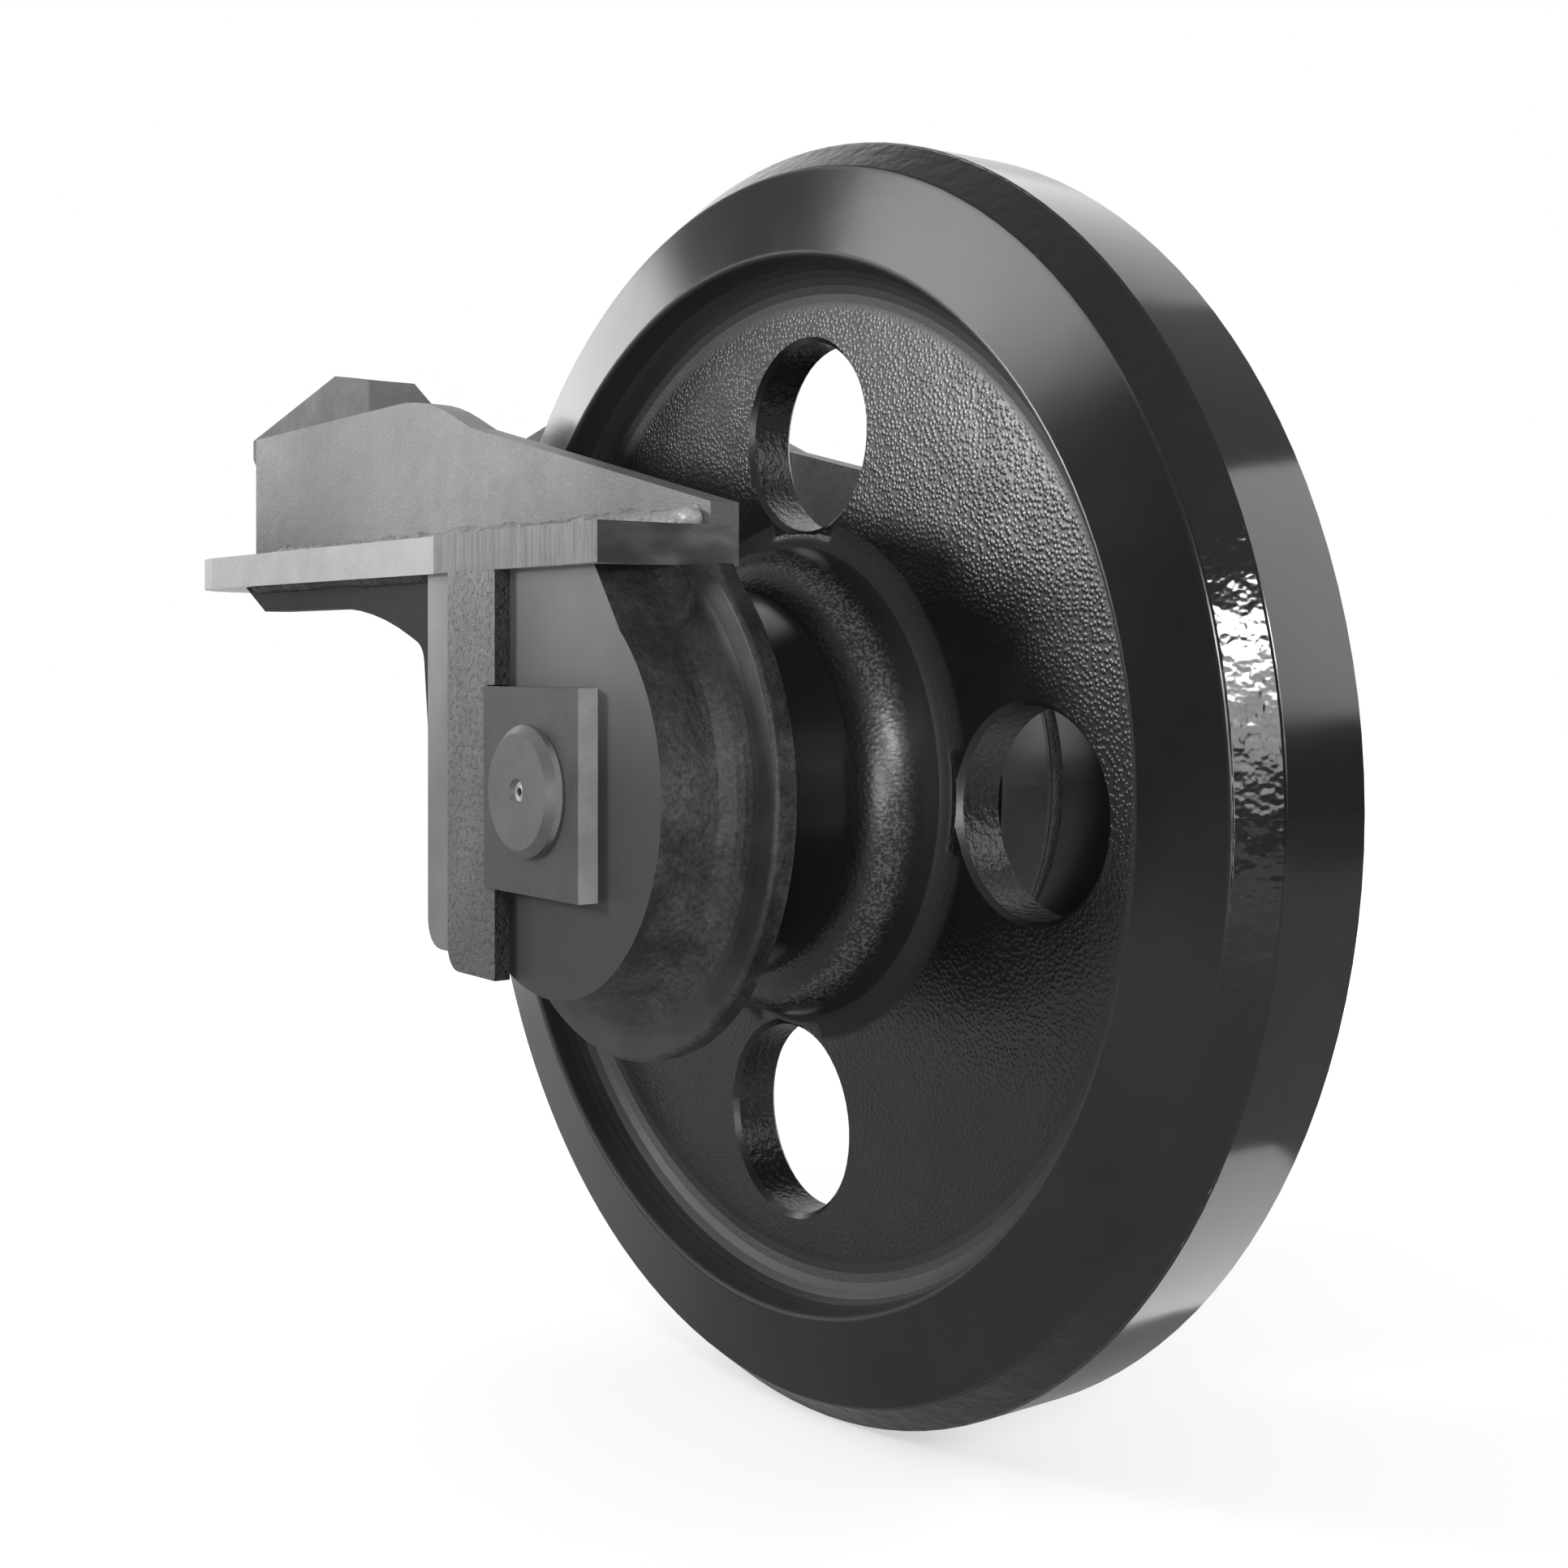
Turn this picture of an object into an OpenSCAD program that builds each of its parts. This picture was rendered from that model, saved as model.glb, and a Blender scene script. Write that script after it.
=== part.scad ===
// Front idler of a crawler excavator: a cast wheel that turns on a fixed shaft,
// carried between two welded slide brackets that run along the track frame.
// Frame: wheel centre at the origin, shaft along Y, front towards +X, +Z up.
// The right-hand bracket lies at -Y and the left-hand one is its mirror image.

/* [Wheel rim] */
// Diameter over the tread
wheel_d = 1000; // [960:5:1060]
// Width of the flat tread
tread_w = 73; // [60:1:90]
// Radial height of the bevel beside the tread
bevel_h = 22; // [14:1:28]
// Axial width of that bevel
bevel_w = 27; // [18:1:34]
// Radial height of the machined ring on each side of the rim
ring_h = 68; // [56:1:78]
// Axial rise of the ring towards its inner edge
ring_rise = 16; // [8:1:22]
// Radial draft of the recess wall inside the ring
recess_draft = 8; // [3:1:12]
// Rounding of the ring's inner edge
ring_edge_r = 4; // [2:0.5:6]
// Fillet between rim and web
rim_fillet = 30; // [20:1:36]

/* [Wheel web] */
// Thickness of the web
web_t = 42; // [36:1:50]
// Offset of the web from the middle of the rim, towards the right-hand side
web_offset = 19; // [8:1:22]
// Turn of the wheel at rest, in degrees
wheel_turn = 2.3; // [0:0.1:20]
// Number of lightening holes
hole_count = 4; // [3:1:5]
// Diameter of a lightening hole
hole_d = 150; // [110:2:160]
// Radius of the circle through the hole centres
hole_pitch_r = 273; // [262:1:290]
// Chamfer round the holes
hole_chamfer = 4; // [2:0.5:6]

/* [Wheel hub] */
// Overall length of the hub
hub_l = 368; // [356:1:380]
// Diameter of the hub neck
hub_d = 300; // [284:2:310]
// Rounding of the neck's outer end
hub_edge_r = 6; // [3:0.5:9]
// Diameter of the collar between neck and web
collar_d = 362; // [352:1:363]
// Overall width of the collar
collar_w = 156; // [150:1:170]
// Diameter of the collar's foot on the web
collar_foot_d = 370; // [364:1:380]
// Rounding of the collar's edge
collar_round = 16; // [10:1:18]
// Fillet between collar and neck
neck_fillet = 5; // [3:0.5:10]
// Fillet between web and collar foot
hub_fillet = 18; // [10:1:19]

/* [Shaft and bushings] */
// Diameter of the shaft
shaft_d = 120; // [112:1:124]
// Diameter of the shaft ends that pass through the keeper plates
shaft_end_d = 97; // [88:1:104]
// How far a shaft end stands out of its keeper plate
shaft_end_l = 11; // [8:0.5:16]
// Chamfer of the shaft ends
shaft_chamfer = 6; // [3:0.5:7]
// Wall of a bushing
bushing_wall = 10; // [7:0.5:12]
// Radial width of a bushing's thrust flange beyond its sleeve
flange_h = 10; // [7:0.5:11]
// Thickness of the thrust flange
flange_t = 6; // [4:0.5:8]
// Width of the oil space between the two bushings
oil_space_w = 40; // [20:2:60]
// Diameter of the oil passage along the shaft
oil_passage_d = 10; // [6:1:11]
// Diameter of an oil plug
plug_d = 14; // [12.5:0.5:18]
// Length of an oil plug
plug_l = 16; // [12:1:20]
// Depth of the plug below the shaft end
plug_depth = 3; // [1.5:0.5:5]
// Width across flats of the plug's hexagon socket
plug_socket = 6; // [5:0.5:7]
// Depth of the plug's socket
plug_socket_depth = 7; // [5:0.5:9]
// Radius of a shaft O-ring's section
o_ring_r = 3; // [2:0.25:4]
// Distance of a shaft O-ring from the block's outer face
o_ring_inset = 26; // [18:1:36]

/* [Floating seals] */
// Diameter of the pockets for the floating seals
pocket_d = 210; // [202:1:220]
// Depth of a seal pocket
pocket_depth = 24; // [22:0.5:28]
// Gap between hub and bearing block
seal_gap = 6; // [4:0.5:9]
// Radius of a toric ring's section
toric_r = 3.8; // [3:0.2:5]
// Radial thickness of a metal seal ring
seal_ring_h = 13; // [9:0.5:13]
// Length of a metal seal ring
seal_ring_l = 17; // [14:0.5:19]

/* [Bearing block] */
// Axial length of a block
block_l = 76; // [66:1:90]
// Radius of the round outer face
block_face_r = 153; // [146:1:160]
// Widening of the block from its outer face to the foot of the flange
block_taper = 8; // [4:0.5:12]
// Radius of the flange at the wheel side
block_skirt_r = 204; // [196:1:214]
// Thickness of the flange
block_skirt_t = 17; // [12:0.5:20]
// Rounding of the flange's edge
block_skirt_edge = 4; // [2:0.5:6]
// Fillet between block and flange
block_fillet = 26; // [16:1:28]
// Angle above the shaft where the round front turns into a flat
block_flat_angle = 36; // [30:1:42]
// Inset of that flat from the round front
block_flat_inset = 4; // [3:0.5:8]
// Distance of the rear face behind the shaft
block_rear = 196; // [190:1:204]
// Depth of the rear lower edge below the shaft
block_foot = 136; // [120:1:140]
// Rounding of the rear lower corner
block_corner_r = 22; // [8:1:30]

/* [Keeper plate and guide bar] */
// Width of a keeper plate
keeper_w = 140; // [134:1:150]
// Height of a keeper plate
keeper_h = 152; // [130:1:170]
// Thickness of a keeper plate
keeper_t = 16; // [12:1:20]
// Gap between a keeper plate and the notch for it in the guide bar
keeper_gap = 1; // [0.5:0.25:2]
// Distance of the bar's front edge behind the shaft
bar_x = 58.5; // [56:0.5:62]
// Width of a guide bar
bar_w = 77; // [60:1:90]
// Thickness of a guide bar
bar_t = 13; // [8:0.5:15]
// Depth of the bar's lower end below the shaft
bar_foot = 146; // [130:1:160]
// Rounding of the bar's rear lower corner
bar_corner_r = 18; // [6:1:24]

/* [Slide plate] */
// Height of the sliding underside above the shaft
slide_h = 164; // [160:1:172]
// Thickness of a slide plate
slide_t = 30; // [25:1:36]
// Reach of a slide plate beyond the block's outer face
slide_over = 10; // [4:0.5:14]
// Width of a slide plate
slide_w = 120; // [110:1:132]
// Reach of the plate in front of the shaft
slide_front = 86; // [70:1:100]
// Reach of the plate behind the shaft
slide_rear = 768; // [720:2:800]
// Step by which the front part stands proud of the rear part
slide_step = 4; // [2:0.5:6]
// Distance of that step behind the shaft
slide_step_x = 165; // [150:1:200]
// Length of the bevel at the step
slide_step_l = 10; // [6:1:16]

/* [Rib, gusset and lug] */
// Thickness of ribs and gussets
rib_t = 25; // [20:1:30]
// Height of the rib at its front end
rib_front_h = 17; // [14:1:24]
// Height of the rib where its front slope turns steeper
rib_knee_h = 102; // [94:1:108]
// Distance of that turn behind the shaft
rib_knee_x = 285; // [270:1:292]
// Height of the rib at its peak
rib_peak_h = 137; // [130:1:146]
// Distance of the peak behind the shaft
rib_peak_x = 372; // [366:1:400]
// Height of the rib at its rear end
rib_rear_h = 131; // [118:1:135]
// Rounding of the peak
rib_peak_r = 280; // [150:10:300]
// Distance of the gusset's face inside the block's outer face
gusset_inset = 4; // [2:0.5:8]
// Length of the gusset behind the block
gusset_l = 395; // [360:1:430]
// Depth of the gusset at its rear end
gusset_tail_h = 24; // [20:1:30]
// Distance behind the block of the bend in its lower edge
gusset_bend_x = 110; // [104:1:130]
// Radius of that bend
gusset_bend_r = 430; // [200:10:460]
// Depth of the gusset where its lower edge turns down the block
gusset_knee_h = 58; // [50:1:62]
// Depth of the gusset's toe on the block
gusset_toe_h = 124; // [105:1:140]
// Width of the toe
gusset_toe_w = 8; // [5:0.5:10]
// Rounding of the knee
gusset_knee_r = 20; // [10:1:26]
// Thickness of the plates of the rear lug
lug_t = 16; // [12:1:20]
// Distance of the lug's front face behind the shaft
lug_front_x = 545; // [530:1:580]
// Length of the lug along the rib
lug_l = 293; // [270:1:300]
// Distance of the lug's crest behind its front face
lug_crest_x = 80; // [60:1:110]
// How far the lug's lower edge lies below the rib's peak
lug_skirt = 90; // [70:1:110]
// How far the lug's crest stands above the rib's peak
lug_crest = 48; // [40:1:60]
// Reach of the lug's cross plate towards the middle
lug_reach = 62; // [45:1:66]
// Chamfer on the cross plate's upper corner
lug_chamfer = 30; // [18:1:40]
// Height of the lug's rear edge
lug_tail_h = 20; // [12:1:30]
// Length of the slope under the lug's tail
lug_tail_l = 70; // [50:1:90]
// Radius of the cope in the corner of the lug's cross plate
cope_r = 12; // [8:0.5:15]

/* [Fits] */
// Radial running clearance of the shaft in its bushings
running_gap = 0.06; // [0.03:0.01:0.09]
// Radial gap of parts that are pressed or slid together
seat_gap = 0.02; // [0.01:0.01:0.05]
// Gap between faces that turn past each other
face_gap = 0.3; // [0.2:0.05:0.6]
// Gap round the rubber rings
rubber_gap = 0.1; // [0.05:0.05:0.3]

/* [Hidden] */

$fn = 96;
// Steps in a rounded corner
corner_steps = 6;
// Overlap that lets a cut run clear through a face
cut = 1;

paint = [0.11, 0.11, 0.12];
plate_paint = [0.2, 0.2, 0.21];
bare_steel = [0.55, 0.55, 0.57];
bronze = [0.62, 0.45, 0.22];
rubber = [0.06, 0.06, 0.06];

// Radii of the wheel
wheel_r = wheel_d / 2;
bevel_r = wheel_r - bevel_h;
ring_r = bevel_r - ring_h;
recess_r = ring_r - recess_draft;
collar_r = collar_d / 2;
collar_foot_r = collar_foot_d / 2;
hub_r = hub_d / 2;
shaft_r = shaft_d / 2;
bushing_in_r = shaft_r + running_gap;
bushing_out_r = shaft_r + bushing_wall;
hub_bore_r = bushing_out_r + seat_gap;
flange_r = bushing_out_r + flange_h;
pocket_r = pocket_d / 2;
shaft_end_r = shaft_end_d / 2;

// Stations along the shaft, measured outwards from the middle of the wheel
tread_s = tread_w / 2;
bevel_s = tread_s + bevel_w;
ring_s = bevel_s + ring_rise;
web_right_s = web_t / 2 + web_offset;
web_left_s = web_t / 2 - web_offset;
collar_s = collar_w / 2;
hub_s = hub_l / 2;
pocket_floor_s = hub_s - pocket_depth;
flange_s = pocket_floor_s + flange_t;
nose_s = flange_s + face_gap;
block_in_s = hub_s + seal_gap;
block_pocket_s = block_in_s + pocket_depth;
block_out_s = block_in_s + block_l;
keeper_s = block_out_s + keeper_t;
shaft_s = keeper_s + shaft_end_l;
plug_s = shaft_s - plug_depth;
bar_s = block_out_s + bar_t;
seal_s = (hub_s + block_in_s) / 2;
slide_out_s = block_out_s + slide_over;
slide_in_s = slide_out_s - slide_w;

// Floating seals
seal_out_r = pocket_r - 2 * toric_r - 2 * rubber_gap;
seal_in_r = seal_out_r - seal_ring_h;
toric_path_r = pocket_r - rubber_gap - toric_r;
toric_offset = seal_ring_l * 2 / 3;
nose_r = min(seal_in_r - face_gap, flange_r);

// Shaft O-rings
o_ring_s = block_out_s - o_ring_inset;
o_ring_path_r = shaft_r - rubber_gap - o_ring_r;
o_ring_floor_r = o_ring_path_r - o_ring_r - rubber_gap;
o_ring_groove_w = 2 * (o_ring_r + rubber_gap);

// Heights of the bracket
slide_top = slide_h + slide_t;
rib_s = slide_in_s + rib_t;
gusset_out_s = block_out_s - gusset_inset;
notch_x = keeper_w / 2 + keeper_gap;
notch_z = keeper_h / 2 + keeper_gap;
lug_rear_x = lug_front_x + lug_l;
lug_foot_z = slide_top + rib_peak_h - lug_skirt;
lug_crest_z = slide_top + rib_peak_h + lug_crest;

// Vector v brought to length 1
function unit(v) = v / norm(v);

// First two coordinates of an outline point
function xy(p) = [p.x, p.y];

// Points of the arc of radius r that rounds corner b between a and c
function corner(a, b, c, r) = r == 0 ? [b] :
    let (
        u = unit(a - b),
        v = unit(c - b),
        half = acos(u * v) / 2,
        centre = b + unit(u + v) * r / sin(half),
        p = b + u * r / tan(half) - centre,
        q = b + v * r / tan(half) - centre,
        start = atan2(p.y, p.x),
        turn = atan2(q.y, q.x) - start,
        sweep = turn > 180 ? turn - 360 : turn < -180 ? turn + 360 : turn,
        step = sweep / corner_steps
    )
    [for (i = [0:corner_steps]) centre + r * [cos(start + i * step), sin(start + i * step)]];

// Outline from points [x, y, corner radius]
function rounded(pts) = [
    for (i = [0:len(pts) - 1])
        each corner(
            xy(pts[(i + len(pts) - 1) % len(pts)]), xy(pts[i]), xy(pts[(i + 1) % len(pts)]), pts[i][2]
        )
];

// Same outline on the other side of the wheel's middle plane, in reverse order
function mirrored(pts) = [for (i = [len(pts) - 1:-1:0]) [pts[i].x, -pts[i].y, pts[i][2]]];

// Puts what is drawn in (x, z, station) in place on the right-hand side
module on_right() {
    rotate([90, 0, 0])
        children();
}

// Mirror image of a right-hand piece
module on_left() {
    mirror([0, 1, 0])
        children();
}

// Solid of revolution from a profile of (radius, station)
module turned() {
    on_right()
        rotate_extrude()
            children();
}

// Ring of rectangular section
module ring_section(r_in, r_out, s_in, s_out) {
    polygon([[r_in, s_in], [r_out, s_in], [r_out, s_out], [r_in, s_out]]);
}

// Plate drawn in (x, z) between two stations
module upright_plate(s_in, s_out) {
    on_right()
        translate([0, 0, s_in])
            linear_extrude(s_out - s_in)
                children();
}

// Outline of one side of the wheel, from the bore out to the tread
function wheel_side(web_s) = [
    [hub_bore_r, pocket_floor_s, 0],
    [pocket_r, pocket_floor_s, 0],
    [pocket_r, hub_s, 0],
    [hub_r, hub_s, hub_edge_r],
    [hub_r, collar_s, neck_fillet],
    [collar_r, collar_s, collar_round],
    [collar_foot_r, web_s, hub_fillet],
    [recess_r, web_s, rim_fillet],
    [ring_r, ring_s, ring_edge_r],
    [bevel_r, bevel_s, 0],
    [wheel_r, tread_s, 0]
];

module wheel_profile() {
    polygon(rounded(concat(wheel_side(web_right_s), mirrored(wheel_side(web_left_s)))));
}

// Flare that breaks the edge of a hole where it leaves the web
module hole_edge(web_s) {
    translate([0, 0, web_s - hole_chamfer])
        cylinder(h = hole_chamfer + cut, d1 = hole_d, d2 = hole_d + 2 * (hole_chamfer + cut));
}

module lightening_hole() {
    on_right() {
        cylinder(h = collar_w, d = hole_d, center = true);
        hole_edge(web_right_s);
        mirror([0, 0, 1])
            hole_edge(web_left_s);
    }
}

module idler_wheel() {
    color(paint)
        difference() {
            turned()
                wheel_profile();
            for (i = [0:hole_count - 1])
                rotate([0, wheel_turn + i * 360 / hole_count, 0])
                    translate([0, 0, hole_pitch_r])
                        lightening_hole();
        }
}

module shaft_half_profile() {
    polygon([
        [0, -cut],
        [shaft_r, -cut],
        [shaft_r, o_ring_s - o_ring_groove_w / 2],
        [o_ring_floor_r, o_ring_s - o_ring_groove_w / 2],
        [o_ring_floor_r, o_ring_s + o_ring_groove_w / 2],
        [shaft_r, o_ring_s + o_ring_groove_w / 2],
        [shaft_r, block_out_s],
        [shaft_end_r, block_out_s],
        [shaft_end_r, shaft_s - shaft_chamfer],
        [shaft_end_r - shaft_chamfer, shaft_s],
        [0, shaft_s]
    ]);
}

module plug_hole() {
    hole_r = plug_d / 2 + seat_gap;
    on_right() {
        translate([0, 0, plug_s - plug_l])
            cylinder(h = plug_l + plug_depth + cut, r = hole_r);
        translate([0, 0, shaft_s - plug_depth])
            cylinder(h = plug_depth + cut, r1 = hole_r, r2 = hole_r + plug_depth + cut);
    }
}

module shaft() {
    color(bare_steel)
        difference() {
            union() {
                turned()
                    shaft_half_profile();
                on_left()
                    turned()
                        shaft_half_profile();
            }
            plug_hole();
            on_left()
                plug_hole();
            rotate([90, 0, 0])
                cylinder(h = 2 * (shaft_s - plug_l), d = oil_passage_d, center = true);
            cylinder(h = 2 * (shaft_r + cut), d = oil_passage_d, center = true);
        }
}

module bushing() {
    color(bronze)
        turned()
            polygon([
                [bushing_in_r, oil_space_w / 2],
                [bushing_out_r, oil_space_w / 2],
                [bushing_out_r, pocket_floor_s],
                [flange_r, pocket_floor_s],
                [flange_r, flange_s],
                [bushing_in_r, flange_s]
            ]);
}

// Metal seal ring that reaches from the lapped face into its pocket
module seal_ring(face_s, back_s) {
    color(bare_steel)
        turned()
            ring_section(seal_in_r, seal_out_r, min(face_s, back_s), max(face_s, back_s));
}

module turning_seal() {
    face_s = seal_s - face_gap / 2;
    seal_ring(face_s, face_s - seal_ring_l);
}

module fixed_seal() {
    face_s = seal_s + face_gap / 2;
    seal_ring(face_s, face_s + seal_ring_l);
}

module rubber_ring(path_r, section_r, s) {
    color(rubber)
        turned()
            translate([path_r, s])
                circle(r = section_r, $fn = 24);
}

module turning_toric() {
    rubber_ring(toric_path_r, toric_r, seal_s - toric_offset);
}

module fixed_toric() {
    rubber_ring(toric_path_r, toric_r, seal_s + toric_offset);
}

module shaft_o_ring() {
    rubber_ring(o_ring_path_r, o_ring_r, o_ring_s);
}

module oil_plug() {
    color(bare_steel)
        on_right()
            difference() {
                translate([0, 0, plug_s - plug_l])
                    cylinder(h = plug_l, d = plug_d);
                translate([0, 0, plug_s - plug_socket_depth])
                    cylinder(h = plug_socket_depth + cut, d = plug_socket / cos(30), $fn = 6);
            }
}

// Section of the block's flange, fillet and wall, running past both end faces;
// a section that is set in also has its flange face set back
module block_section(inset) {
    flange_face_s = block_in_s + block_skirt_t - inset / 4;
    polygon(rounded([
        [0, block_in_s - cut, 0],
        [block_skirt_r - inset, block_in_s - cut, 0],
        [block_skirt_r - inset, flange_face_s, block_skirt_edge],
        [block_face_r + block_taper - inset, flange_face_s, block_fillet],
        [block_face_r - inset, block_out_s + cut, 0],
        [0, block_out_s + cut, 0]
    ]));
}

// Round front of the block, about the shaft
module block_front() {
    rotate_extrude()
        block_section(0);
}

// Flat that runs from the round front up to the slide plate
module block_brow() {
    rotate([0, 0, block_flat_angle])
        rotate([90, 0, 0])
            translate([0, 0, -2 * slide_h])
                linear_extrude(2 * slide_h)
                    block_section(block_flat_inset);
}

module block_back() {
    translate([0, 0, block_in_s - cut])
        linear_extrude(block_l + 2 * cut)
            polygon(rounded([
                [0, slide_h + cut, 0],
                [-block_rear, slide_h + cut, 0],
                [-block_rear, -block_foot, block_corner_r],
                [0, -block_foot, 0]
            ]));
}

module block_bores() {
    bore_r = shaft_r + seat_gap;
    translate([0, 0, nose_s - cut])
        cylinder(h = block_out_s - nose_s + 2 * cut, r = bore_r);
    translate([0, 0, block_in_s - cut])
        difference() {
            cylinder(h = pocket_depth + cut, r = pocket_r);
            cylinder(h = pocket_depth + cut, r = nose_r);
        }
}

module bearing_block() {
    reach = block_rear + block_skirt_r;
    color(paint)
        on_right()
            difference() {
                union() {
                    intersection() {
                        union() {
                            block_front();
                            block_brow();
                            block_back();
                        }
                        translate([-reach, slide_h - 2 * reach, block_in_s])
                            cube([2 * reach, 2 * reach, block_l]);
                    }
                    translate([0, 0, nose_s])
                        cylinder(h = block_pocket_s - nose_s, r = nose_r);
                }
                block_bores();
            }
}

module keeper_plate() {
    color(plate_paint)
        upright_plate(block_out_s, keeper_s)
            difference() {
                square([keeper_w, keeper_h], center = true);
                circle(r = shaft_end_r + seat_gap);
            }
}

module guide_bar() {
    color(plate_paint)
        upright_plate(block_out_s, bar_s)
            polygon(rounded([
                [-bar_x, slide_h, 0],
                [-bar_x - bar_w, slide_h, 0],
                [-bar_x - bar_w, -bar_foot, bar_corner_r],
                [-bar_x, -bar_foot, 0],
                [-bar_x, -notch_z, 0],
                [-notch_x, -notch_z, 0],
                [-notch_x, notch_z, 0],
                [-bar_x, notch_z, 0]
            ]));
}

module slide_plate() {
    rear_out_s = slide_out_s - slide_step;
    rear_r = rear_out_s - slide_in_s - cut;
    color(plate_paint)
        mirror([0, 1, 0])
            translate([0, 0, slide_h])
                linear_extrude(slide_t)
                    polygon(rounded([
                        [slide_front, slide_in_s, 0],
                        [slide_front, slide_out_s, 0],
                        [-slide_step_x, slide_out_s, 0],
                        [-slide_step_x - slide_step_l, rear_out_s, 0],
                        [-slide_rear, rear_out_s, rear_r],
                        [-slide_rear, slide_in_s, 0]
                    ]));
}

module rib() {
    color(plate_paint)
        upright_plate(slide_in_s, rib_s)
            translate([0, slide_top])
                polygon(rounded([
                    [slide_front, 0, 0],
                    [slide_front, rib_front_h, 0],
                    [-rib_knee_x, rib_knee_h, 0],
                    [-rib_peak_x, rib_peak_h, rib_peak_r],
                    [-slide_rear, rib_rear_h, 0],
                    [-slide_rear, 0, 0]
                ]));
}

module gusset() {
    tail_x = -block_rear - gusset_l;
    color(plate_paint)
        upright_plate(gusset_out_s - rib_t, gusset_out_s)
            translate([0, slide_h])
                polygon(rounded([
                    [-block_rear, 0, 0],
                    [tail_x, 0, 0],
                    [tail_x + 2 * gusset_tail_h, -gusset_tail_h, 0],
                    [-block_rear - gusset_bend_x, -gusset_tail_h, gusset_bend_r],
                    [-block_rear - 2 * gusset_toe_w, -gusset_knee_h, gusset_knee_r],
                    [-block_rear - gusset_toe_w, -gusset_toe_h, 0],
                    [-block_rear, -gusset_toe_h, 0]
                ]));
}

module rear_lug() {
    brow_z = lug_crest_z - lug_crest / 4;
    tail_z = lug_crest_z - lug_crest;
    color(plate_paint) {
        upright_plate(slide_in_s - lug_t, slide_in_s)
            polygon([
                [-lug_front_x, lug_foot_z],
                [-lug_front_x, brow_z],
                [-lug_front_x - lug_crest_x, lug_crest_z],
                [-lug_rear_x, tail_z],
                [-lug_rear_x, tail_z - lug_tail_h],
                [-lug_rear_x + lug_tail_l, lug_foot_z]
            ]);
        translate([-lug_front_x - lug_t, 0, 0])
            rotate([90, 0, 90])
                linear_extrude(lug_t)
                    difference() {
                        polygon([
                            [-slide_in_s + lug_t, lug_foot_z],
                            [-slide_in_s + lug_t + lug_reach, lug_foot_z],
                            [-slide_in_s + lug_t + lug_reach, brow_z - lug_chamfer],
                            [-slide_in_s + lug_t + lug_reach - lug_chamfer, brow_z],
                            [-slide_in_s + lug_t, brow_z]
                        ]);
                        translate([-slide_in_s + lug_t, slide_top + rib_peak_h])
                            circle(r = cope_r);
                    }
    }
}

idler_wheel();
shaft();
bushing();  // bushing_right
on_left() bushing();  // bushing_left
turning_seal();  // turning_seal_right
on_left() turning_seal();  // turning_seal_left
fixed_seal();  // fixed_seal_right
on_left() fixed_seal();  // fixed_seal_left
turning_toric();  // turning_toric_right
on_left() turning_toric();  // turning_toric_left
fixed_toric();  // fixed_toric_right
on_left() fixed_toric();  // fixed_toric_left
shaft_o_ring();  // shaft_o_ring_right
on_left() shaft_o_ring();  // shaft_o_ring_left
oil_plug();  // oil_plug_right
on_left() oil_plug();  // oil_plug_left
bearing_block();  // bearing_block_right
on_left() bearing_block();  // bearing_block_left
keeper_plate();  // keeper_plate_right
on_left() keeper_plate();  // keeper_plate_left
guide_bar();  // guide_bar_right
on_left() guide_bar();  // guide_bar_left
slide_plate();  // slide_plate_right
on_left() slide_plate();  // slide_plate_left
rib();  // rib_right
on_left() rib();  // rib_left
gusset();  // gusset_right
on_left() gusset();  // gusset_left
rear_lug();  // rear_lug_right
on_left() rear_lug();  // rear_lug_left
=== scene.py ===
"""Looks of an excavator front idler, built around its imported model.

Frame, in metres: wheel centre at the origin, shaft along Y, front towards +X, +Z up.
"""
import math
import random

import bmesh
import bpy
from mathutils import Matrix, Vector


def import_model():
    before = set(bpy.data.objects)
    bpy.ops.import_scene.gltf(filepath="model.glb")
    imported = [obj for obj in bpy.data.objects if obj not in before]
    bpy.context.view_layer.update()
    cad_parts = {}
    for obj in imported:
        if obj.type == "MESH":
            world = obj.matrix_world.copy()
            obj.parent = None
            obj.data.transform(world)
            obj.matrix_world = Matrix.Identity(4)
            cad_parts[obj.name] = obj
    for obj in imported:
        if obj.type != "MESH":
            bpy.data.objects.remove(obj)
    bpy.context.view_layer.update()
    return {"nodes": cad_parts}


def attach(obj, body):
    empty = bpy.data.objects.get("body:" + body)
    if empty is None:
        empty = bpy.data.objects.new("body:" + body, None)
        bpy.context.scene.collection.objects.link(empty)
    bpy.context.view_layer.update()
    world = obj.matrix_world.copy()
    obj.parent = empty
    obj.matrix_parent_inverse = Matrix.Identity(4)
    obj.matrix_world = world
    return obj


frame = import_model()
scene = bpy.context.scene
random.seed(11)

# Sides of the part: the sign of Y on each bracket
SIDES = {"right": -1, "left": 1}

# The photograph's viewpoint; the white backdrop stands in the direction of the look
EYE = (1.341, -1.0255, 0.100)
LOOK = (-0.7958, 0.6056, 0)
SENSOR_MM = 36
LENS_MM = 47.83
SHIFT_X = -0.0305
SHIFT_Y = -0.0828

# Wheel: radii of its surfaces, and the turn of its holes in radians
TREAD_R = 0.500
BEVEL_R = 0.478
RING_R = 0.410
HOLES_R = (0.192, 0.354)
COLLAR_R = 0.181
HOLE_COUNT = 4
HOLE_TURN = -0.0403

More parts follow.
